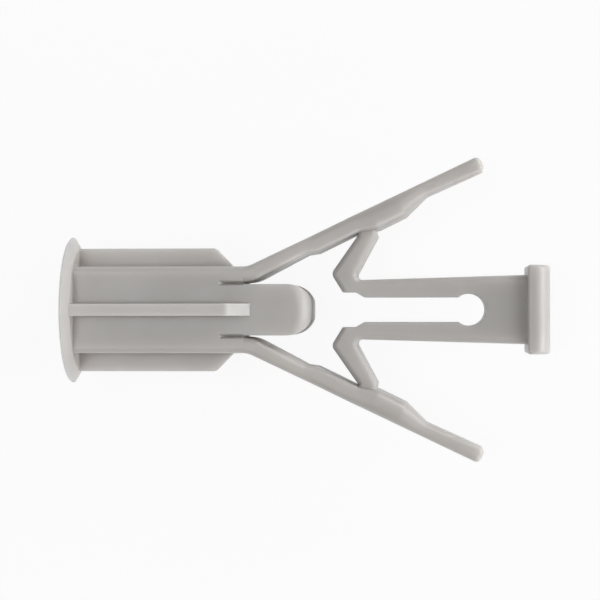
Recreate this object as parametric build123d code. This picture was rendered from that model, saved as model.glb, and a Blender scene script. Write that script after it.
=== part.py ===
from build123d import *
import os
from math import cos, radians, sin, tan

# One-piece nylon drywall anchor, as it comes out of the mould with its wings open.
# X runs along the screw axis from the flange to the tail, the wings open in the
# XY plane, and Z is the depth.  The origin is on the axis, in the plane of the
# wall, which is the underside of the flange.  All lengths are in millimetres.

# Flange: a thin disc, flat outside, that slants to a thin rim on the wall side.
flange_diameter = 9.5
flange_thickness = 0.55
flange_flat_diameter = 7.9
rim_position = -0.45
rim_chamfer = 0.1

# Barrel: a square tube with softened edges and a round bore.  Four fins stop it
# turning in the plaster.
barrel_width = 5.56
barrel_rounding = 0.35
bore_diameter = 4.0
bore_mouth = 0.35
fin_span = 8.0
fin_thickness = 0.8
side_fin_length = 10.15
side_fin_chamfer = 1.2
side_fin_rounding = 0.3
face_fin_length = 11.45
face_fin_chamfer = 1.55
face_fin_rounding = 0.8

# The end of the barrel parts into two wing roots and two tongues.  Four V-shaped
# grooves mark them off on the outside and run on as open slits.
groove_start = 9.85
groove_depth = 0.45
groove_angle = 36.0
groove_ramp_angle = 45.0
slit_start = 10.95
slit_width = 0.13
tongue_width = 3.28
tongue_length = 15.42
tongue_nose_radius = 4.0
tongue_nose_rounding = 1.26

# Wings: each bends out of the barrel's side wall, stiffens past a thin hinge and
# thins again to a finger.  Places along a wing are measured on its outer edge from
# the bend's corner, and each thickness is measured in from that edge.
bend_radius = 1.31
wing_angle = 25.8
hinge_position = 3.7
hinge_thickness = 0.9
hinge_depth = 4.6
bar_start = 4.4
bar_end = 7.4
bar_thickness = 1.12
bar_depth = 4.4
bar_rounding = 0.42
bulge_start = 8.6
bulge_end = 10.5
bulge_thickness = 1.5
bulge_depth = 3.9
bulge_rounding = 0.68
finger_start = 12.3
finger_thickness = 0.9
finger_depth = 2.8
finger_rounding = 0.35
finger_end_thickness = 1.05
finger_end_depth = 1.8
wing_length = 16.4

# Struts: links from the wings back to the rods of the tail.  The knee is the
# bend between a strut and its rod.
strut_top = 4.76
strut_angle = 55.0
strut_back_angle = 61.8
strut_root = 0.6
knee_position = 16.54
knee_height = 2.32
knee_base_position = 17.27
knee_base_height = 1.13
knee_base_end = 18.1
knee_rounding = 0.45
elbow_position = 18.03
elbow_rounding = 0.3

# Tail: two rods that join in a plate with a keyhole, ending in a crossbar.
tail_depth = 3.4
tail_rounding = 0.4
rod_start_width = 3.8
rod_end_width = 4.46
slot_width = 1.6
slot_mouth = 18.66
keyhole_position = 25.4
keyhole_diameter = 2.08
crossbar_start = 29.08
crossbar_end = 30.57
crossbar_height = 5.7
crossbar_depth = 4.4
crossbar_nose = 1.2
crossbar_rounding = 0.2

flange_radius = flange_diameter / 2
barrel_side = barrel_width / 2
bore_radius = bore_diameter / 2
fin_radius = fin_span / 2
wall_middle = (barrel_side + bore_radius) / 2
tongue_edge = tongue_width / 2
root_edge = tongue_edge + slit_width
root_thickness = barrel_side - root_edge
slit_middle = (tongue_edge + root_edge) / 2
wing_turn = radians(wing_angle)
bend_lead = bend_radius * tan(wing_turn / 2)
bend_position = slit_start + bend_lead


def both_sides(half):
    """The shape and its mirror image on the other side of the screw axis."""
    return half + mirror(half, about=Plane.XZ)


def outline(*corners):
    """A face from its corners in turn, each a point and the radius that rounds it."""
    points = [point for point, radius in corners]
    radii = [radius for point, radius in corners]
    return make_face(FilletPolyline(*points, radius=radii, close=True))


def bar(face, depth):
    """A flat outline given the same depth to both sides of the wings' plane."""
    return extrude(face, depth / 2, both=True)


def on_wing(along, inward):
    """A point by its distance along the wing's outer edge and in from that edge."""
    return (
        bend_position + along * cos(wing_turn) + inward * sin(wing_turn),
        barrel_side + along * sin(wing_turn) - inward * cos(wing_turn),
    )


def flange():
    profile = Polyline(
        (0, 0),
        (0, flange_flat_diameter / 2),
        (rim_position, flange_radius),
        (-flange_thickness, flange_radius - rim_chamfer),
        (-flange_thickness, 0),
        close=True,
    )
    return revolve(make_face(profile), Axis.X)


def fin(length, chamfer, rounding):
    profile = outline(
        ((-flange_thickness / 2, wall_middle), 0),
        ((-flange_thickness / 2, fin_radius), 0),
        ((length - chamfer, fin_radius), rounding),
        ((length, barrel_side), 0),
        ((length, wall_middle), 0),
    )
    return bar(profile, fin_thickness)


def fins():
    side = fin(side_fin_length, side_fin_chamfer, side_fin_rounding)
    face = Rot(X=90) * fin(face_fin_length, face_fin_chamfer, face_fin_rounding)
    return both_sides(side) + face + mirror(face, about=Plane.XY)


def tongues():
    """The strips of wall that run on between the wings, rounded off at the nose."""
    straight = tongue_length - tongue_edge - slit_start
    plan = Pos(slit_start + straight / 2, 0) * Rectangle(straight, tongue_width)
    plan += Pos(tongue_length - tongue_edge, 0) * Circle(tongue_edge)
    button = Pos(tongue_length - tongue_nose_radius, 0) * Cylinder(tongue_nose_radius, barrel_width)
    rims = [edge for edge in button.edges() if edge.geom_type == GeomType.CIRCLE]
    return bar(plan, barrel_width) & fillet(rims, tongue_nose_rounding)


def grooves():
    """Cutters for the four grooves, each with a ramp at its closed end."""
    floor = barrel_side - groove_depth
    reach = groove_depth * tan(radians(groove_angle / 2))
    ramp = groove_depth / tan(radians(groove_ramp_angle))
    section = outline(
        ((slit_middle, floor), 0),
        ((slit_middle + reach, barrel_side), 0),
        ((slit_middle - reach, barrel_side), 0),
    )
    side = outline(
        ((slit_start, floor), 0),
        ((slit_start, barrel_side), 0),
        ((groove_start - ramp, barrel_side), 0),
        ((groove_start, floor), 0),
    )
    wedge = extrude(Plane.YZ * section, slit_start)
    pair = both_sides(wedge & extrude(Plane.XZ * side, barrel_side, both=True))
    return pair + mirror(pair, about=Plane.XY)


def barrel():
    section = Plane.YZ * RectangleRounded(barrel_width, barrel_width, barrel_rounding)
    return flange() + extrude(section, slit_start) - grooves() + tongues() + fins()


def bore():
    """The cutter for the screw's way through, with a bevel at the mouth."""
    end = (tongue_length + knee_position) / 2
    profile = Polyline(
        (-flange_thickness, 0),
        (-flange_thickness, bore_radius + bore_mouth),
        (bore_mouth - flange_thickness, bore_radius),
        (end, bore_radius),
        (end, 0),
        close=True,
    )
    return revolve(make_face(profile), Axis.X)


def wing_bend():
    """The strip of the barrel's side wall that turns out into the wing."""
    plane = Plane(origin=(slit_start, barrel_side, 0), x_dir=(0, -1, 0), z_dir=(1, 0, 0))
    corner = Pos(root_thickness / 2, 0)
    section = plane * corner * RectangleRounded(root_thickness, barrel_width, barrel_rounding)
    axis = Axis((slit_start, barrel_side + bend_radius, 0), (0, 0, 1))
    return revolve(section, axis, wing_angle)


def wing_section(along, thickness, depth, rounding):
    """The wing cut square across, a rounded oblong inside its outer edge."""
    plane = Plane(
        origin=(*on_wing(along, 0), 0),
        x_dir=(sin(wing_turn), -cos(wing_turn), 0),
        z_dir=(cos(wing_turn), sin(wing_turn), 0),
    )
    return plane * Pos(thickness / 2, 0) * RectangleRounded(thickness, depth, rounding)


def wing():
    """The hinge, the stiff bar with a bulge past the strut, and the thin finger."""
    neck = (bulge_end + finger_start) / 2
    solid = loft(
        [
            wing_section(bend_lead, root_thickness, barrel_width, barrel_rounding),
            wing_section(hinge_position, hinge_thickness, hinge_depth, barrel_rounding),
            wing_section(bar_start, bar_thickness, bar_depth, bar_rounding),
            wing_section(bar_end, bar_thickness, bar_depth, bar_rounding),
            wing_section(bulge_start, bulge_thickness, bar_depth, bulge_rounding),
            wing_section(bulge_end, bulge_thickness, bulge_depth, bulge_rounding),
            wing_section(
                neck,
                (bulge_thickness + finger_thickness) / 2,
                (bulge_depth + finger_depth) / 2,
                (bulge_rounding + finger_rounding) / 2,
            ),
            wing_section(finger_start, finger_thickness, finger_depth, finger_rounding),
            wing_section(wing_length, finger_end_thickness, finger_end_depth, finger_rounding),
        ],
        ruled=True,
    )
    tip = solid.faces().sort_by(Axis.X)[-1]
    return fillet(tip.edges(), finger_rounding)


def tail_bars():
    """Both struts, the rods and the keyhole plate, all of one depth."""
    rise = strut_top - knee_height
    run = rise / tan(radians(strut_angle))
    back_run = (strut_top - rod_start_width / 2) / tan(radians(strut_back_angle))
    half = outline(
        ((knee_base_position, 0), 0),
        ((knee_base_position, knee_base_height), 0),
        ((knee_position, knee_height), knee_rounding),
        ((knee_position + run, strut_top), 0),
        (on_wing(bar_end, strut_root), 0),
        (on_wing(bulge_start, strut_root), 0),
        ((elbow_position + back_run, strut_top), 0),
        ((elbow_position, rod_start_width / 2), elbow_rounding),
        ((crossbar_start + tail_rounding, rod_end_width / 2), 0),
        ((crossbar_start + tail_rounding, 0), 0),
    )
    solid = bar(both_sides(half), tail_depth)
    rims = [edge for edge in solid.edges() if abs((edge % 0.5).Z) < 0.5]
    return fillet(rims, tail_rounding) - bar(slot(), tail_depth)


def slot():
    """The open end between the knees, the slot that it leads to and the keyhole."""
    half = outline(
        ((knee_position, 0), 0),
        ((knee_position, knee_base_height), 0),
        ((knee_base_end, knee_base_height), 0),
        ((slot_mouth, slot_width / 2), 0),
        ((keyhole_position, slot_width / 2), 0),
        ((keyhole_position, 0), 0),
    )
    return both_sides(half) + Pos(keyhole_position, 0) * Circle(keyhole_diameter / 2)


def crossbar():
    profile = outline(
        ((crossbar_start, -crossbar_depth / 2), crossbar_rounding),
        ((crossbar_end, -crossbar_depth / 2), crossbar_nose),
        ((crossbar_end, crossbar_depth / 2), crossbar_nose),
        ((crossbar_start, crossbar_depth / 2), crossbar_rounding),
    )
    block = extrude(Rot(X=90) * profile, crossbar_height / 2, both=True)
    ends = [edge for edge in block.edges() if abs((edge % 0.5).Y) < 0.5]
    return fillet(ends, crossbar_rounding)


anchor = barrel() + both_sides(wing_bend() + wing()) - bore() + tail_bars() + crossbar()

os.makedirs("parts", exist_ok=True)
export_step(anchor, "parts/drywall_anchor.step")
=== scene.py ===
from math import radians

import bpy
from mathutils import Euler, Matrix, Vector


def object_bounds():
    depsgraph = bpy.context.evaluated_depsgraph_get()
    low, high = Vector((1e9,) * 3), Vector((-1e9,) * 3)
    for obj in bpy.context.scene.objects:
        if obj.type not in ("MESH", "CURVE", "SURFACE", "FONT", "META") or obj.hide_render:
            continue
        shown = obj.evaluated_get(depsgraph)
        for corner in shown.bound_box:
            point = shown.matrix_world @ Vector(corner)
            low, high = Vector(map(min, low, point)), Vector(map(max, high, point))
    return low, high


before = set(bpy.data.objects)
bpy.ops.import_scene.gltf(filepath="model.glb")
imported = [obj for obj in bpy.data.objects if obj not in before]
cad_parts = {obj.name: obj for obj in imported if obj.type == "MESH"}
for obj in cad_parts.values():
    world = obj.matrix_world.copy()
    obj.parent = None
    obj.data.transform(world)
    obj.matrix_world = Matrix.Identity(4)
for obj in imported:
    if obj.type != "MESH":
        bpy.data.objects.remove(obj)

cad_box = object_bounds()


# The anchor: one injection moulding in natural nylon, a light warm grey that is
# satin and slightly translucent.  The solid keeps its shape; the finish adds a
# faint cloudiness, a fine mould grain and softened edges.
MM = 0.001
NYLON_COLOUR = (0.484, 0.462, 0.443, 1.0)
NYLON_SHEEN = 0.65
GLOW_SHARE = 1.0
GLOW_DEPTH = 2.2 * MM
GLOW_REACH = (1.0, 0.95, 0.9)
CLOUD_COLOUR = (0.450, 0.428, 0.407, 1.0)
CLOUD_SIZE = 3.0 * MM
CLOUD_DETAIL = 3.0
SMOOTH_ROUGHNESS = 0.33
DULL_ROUGHNESS = 0.43
GRAIN_SIZE = 0.09 * MM
GRAIN_DEPTH = 0.004 * MM
EDGE_ROUNDING = 0.12 * MM
EDGE_SAMPLES = 8

nylon = bpy.data.materials.new("moulded_nylon")
nylon.use_nodes = True
nodes, links = nylon.node_tree.nodes, nylon.node_tree.links
nylon_shader = nodes["Principled BSDF"]
nylon_shader.inputs["Specular IOR Level"].default_value = NYLON_SHEEN
nylon_shader.inputs["Subsurface Weight"].default_value = GLOW_SHARE
nylon_shader.inputs["Subsurface Radius"].default_value = GLOW_REACH
nylon_shader.inputs["Subsurface Scale"].default_value = GLOW_DEPTH
place = nodes.new("ShaderNodeTexCoord")

clouds = nodes.new("ShaderNodeTexNoise")
clouds.inputs["Scale"].default_value = 1 / CLOUD_SIZE
clouds.inputs["Detail"].default_value = CLOUD_DETAIL
links.new(place.outputs["Object"], clouds.inputs["Vector"])
tint = nodes.new("ShaderNodeMix")
tint.data_type = "RGBA"
tint.inputs["A"].default_value = NYLON_COLOUR
tint.inputs["B"].default_value = CLOUD_COLOUR
links.new(clouds.outputs["Fac"], tint.inputs["Factor"])
links.new(tint.outputs["Result"], nylon_shader.inputs["Base Color"])
satin = nodes.new("ShaderNodeMapRange")
satin.inputs["To Min"].default_value = SMOOTH_ROUGHNESS
satin.inputs["To Max"].default_value = DULL_ROUGHNESS
links.new(clouds.outputs["Fac"], satin.inputs["Value"])
links.new(satin.outputs["Result"], nylon_shader.inputs["Roughness"])

grain = nodes.new("ShaderNodeTexNoise")
grain.inputs["Scale"].default_value = 1 / GRAIN_SIZE
links.new(place.outputs["Object"], grain.inputs["Vector"])
soft_edges = nodes.new("ShaderNodeBevel")
soft_edges.samples = EDGE_SAMPLES
soft_edges.inputs["Radius"].default_value = EDGE_ROUNDING
bumps = nodes.new("ShaderNodeBump")
bumps.inputs["Distance"].default_value = GRAIN_DEPTH
links.new(grain.outputs["Fac"], bumps.inputs["Height"])
links.new(soft_edges.outputs["Normal"], bumps.inputs["Normal"])
links.new(bumps.outputs["Normal"], nylon_shader.inputs["Normal"])

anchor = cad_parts["drywall_anchor"]
for index in range(len(anchor.data.materials)):
    anchor.data.materials[index] = nylon


# The floor: a plain sheet of white paper that the edge of the flange rests on.  The
# camera and mirrored rays see it as nearly pure white, with a share of the paper
# left in it that keeps the shadow.  All other rays see the paper alone.
low, high = cad_box
ANCHOR_LENGTH = high.x - low.x
FLOOR_SIZE = 40 * ANCHOR_LENGTH
PAPER_COLOUR = (0.9, 0.9, 0.9, 1.0)
PAPER_ROUGHNESS = 0.9
PURE_WHITE = (1.0, 1.0, 1.0, 1.0)
WHITE_SHARE = 0.91

bpy.ops.mesh.primitive_plane_add(size=FLOOR_SIZE, location=((low.x + high.x) / 2, 0, low.z))
floor = bpy.context.object
floor.name = "floor"

paper = bpy.data.materials.new("white_paper")
paper.use_nodes = True
nodes, links = paper.node_tree.nodes, paper.node_tree.links
paper_shader = nodes["Principled BSDF"]
paper_shader.inputs["Base Color"].default_value = PAPER_COLOUR
paper_shader.inputs["Roughness"].default_value = PAPER_ROUGHNESS
white = nodes.new("ShaderNodeEmission")
white.inputs["Color"].default_value = PURE_WHITE
white.inputs["Strength"].default_value = 1.0
ray = nodes.new("ShaderNodeLightPath")
shown = nodes.new("ShaderNodeMath")
shown.operation = "MAXIMUM"
links.new(ray.outputs["Is Camera Ray"], shown.inputs[0])
links.new(ray.outputs["Is Glossy Ray"], shown.inputs[1])
share = nodes.new("ShaderNodeMath")
share.operation = "MULTIPLY"
share.inputs[1].default_value = WHITE_SHARE
links.new(shown.outputs["Value"], share.inputs[0])
mixed = nodes.new("ShaderNodeMixShader")
links.new(share.outputs["Value"], mixed.inputs["Fac"])
links.new(paper_shader.outputs["BSDF"], mixed.inputs[1])
links.new(white.outputs["Emission"], mixed.inputs[2])
links.new(mixed.outputs["Shader"], nodes["Material Output"].inputs["Surface"])
floor.data.materials.append(paper)


# The light: an even studio of round soft lamps.  Two stand beyond the tail, one of
# them low, one stands to each side of it, and one hangs almost overhead, a little
# towards the flange.
LAMP_DISTANCE = 0.8
LAMP_SIZE = 0.42
LAMP_COLOUR = (0.97, 0.985, 1.0)
middle = (low + high) / 2


def soft_lamp(name, turn, height, power):
    """A round lamp that faces the anchor, placed by its two angles in degrees."""
    data = bpy.data.lights.new(name, "AREA")
    data.shape = "DISK"
    data.size = LAMP_SIZE
    data.energy = power
    data.color = LAMP_COLOUR
    lamp = bpy.data.objects.new(name, data)
    bpy.context.scene.collection.objects.link(lamp)
    aim = Euler((0, -radians(height), radians(turn))).to_matrix() @ Vector((1, 0, 0))
    lamp.location = middle + LAMP_DISTANCE * aim
    lamp.rotation_euler = aim.to_track_quat("Z", "Y").to_euler()


soft_lamp("tail_lamp", turn=0, height=24, power=2.30)
soft_lamp("low_lamp", turn=0, height=8, power=1.00)
soft_lamp("key_lamp", turn=302, height=15, power=2.20)
soft_lamp("side_lamp", turn=42, height=15, power=2.75)
soft_lamp("top_lamp", turn=180, height=72, power=1.85)

# The room itself gives a weak, even light, and only the camera sees it as white.
AMBIENT = 0.18
world = bpy.data.worlds.new("studio")
bpy.context.scene.world = world
world.use_nodes = True
nodes, links = world.node_tree.nodes, world.node_tree.links
nodes["Background"].inputs["Color"].default_value = PURE_WHITE
ray = nodes.new("ShaderNodeLightPath")
level = nodes.new("ShaderNodeMapRange")
level.inputs["To Min"].default_value = AMBIENT
level.inputs["To Max"].default_value = 1.0
links.new(ray.outputs["Is Camera Ray"], level.inputs["Value"])
links.new(level.outputs["Result"], nodes["Background"].inputs["Strength"])


# The camera looks down on the anchor from above its tail.  Its places are in the
# anchor's frame, and the view is as wide as stated at the point that it aims at.
CAMERA_PLACE = Vector((22.4, -0.2, 119.9)) * MM
CAMERA_AIM = Vector((14.44, 0.637, 0.0)) * MM
CAMERA_ROLL = radians(-0.04)
VIEW_WIDTH = 39.1 * MM
SENSOR_WIDTH = 36.0
NEAREST_SEEN = 1 * MM
FARTHEST_SEEN = 10.0

camera_data = bpy.data.cameras.new("camera")
camera = bpy.data.objects.new("camera", camera_data)
bpy.context.scene.collection.objects.link(camera)
bpy.context.scene.camera = camera
back = (CAMERA_PLACE - CAMERA_AIM).normalized()
right = Vector((0, 1, 0)).cross(back).normalized()
up = back.cross(right)
turn = Matrix((right, up, back)).transposed().to_4x4()
camera.matrix_world = (
    Matrix.Translation(CAMERA_PLACE) @ turn @ Matrix.Rotation(CAMERA_ROLL, 4, "Z")
)
camera_data.sensor_width = SENSOR_WIDTH
camera_data.lens = SENSOR_WIDTH * (CAMERA_PLACE - CAMERA_AIM).length / VIEW_WIDTH
camera_data.clip_start = NEAREST_SEEN
camera_data.clip_end = FARTHEST_SEEN

bpy.context.scene.view_settings.view_transform = "Standard"
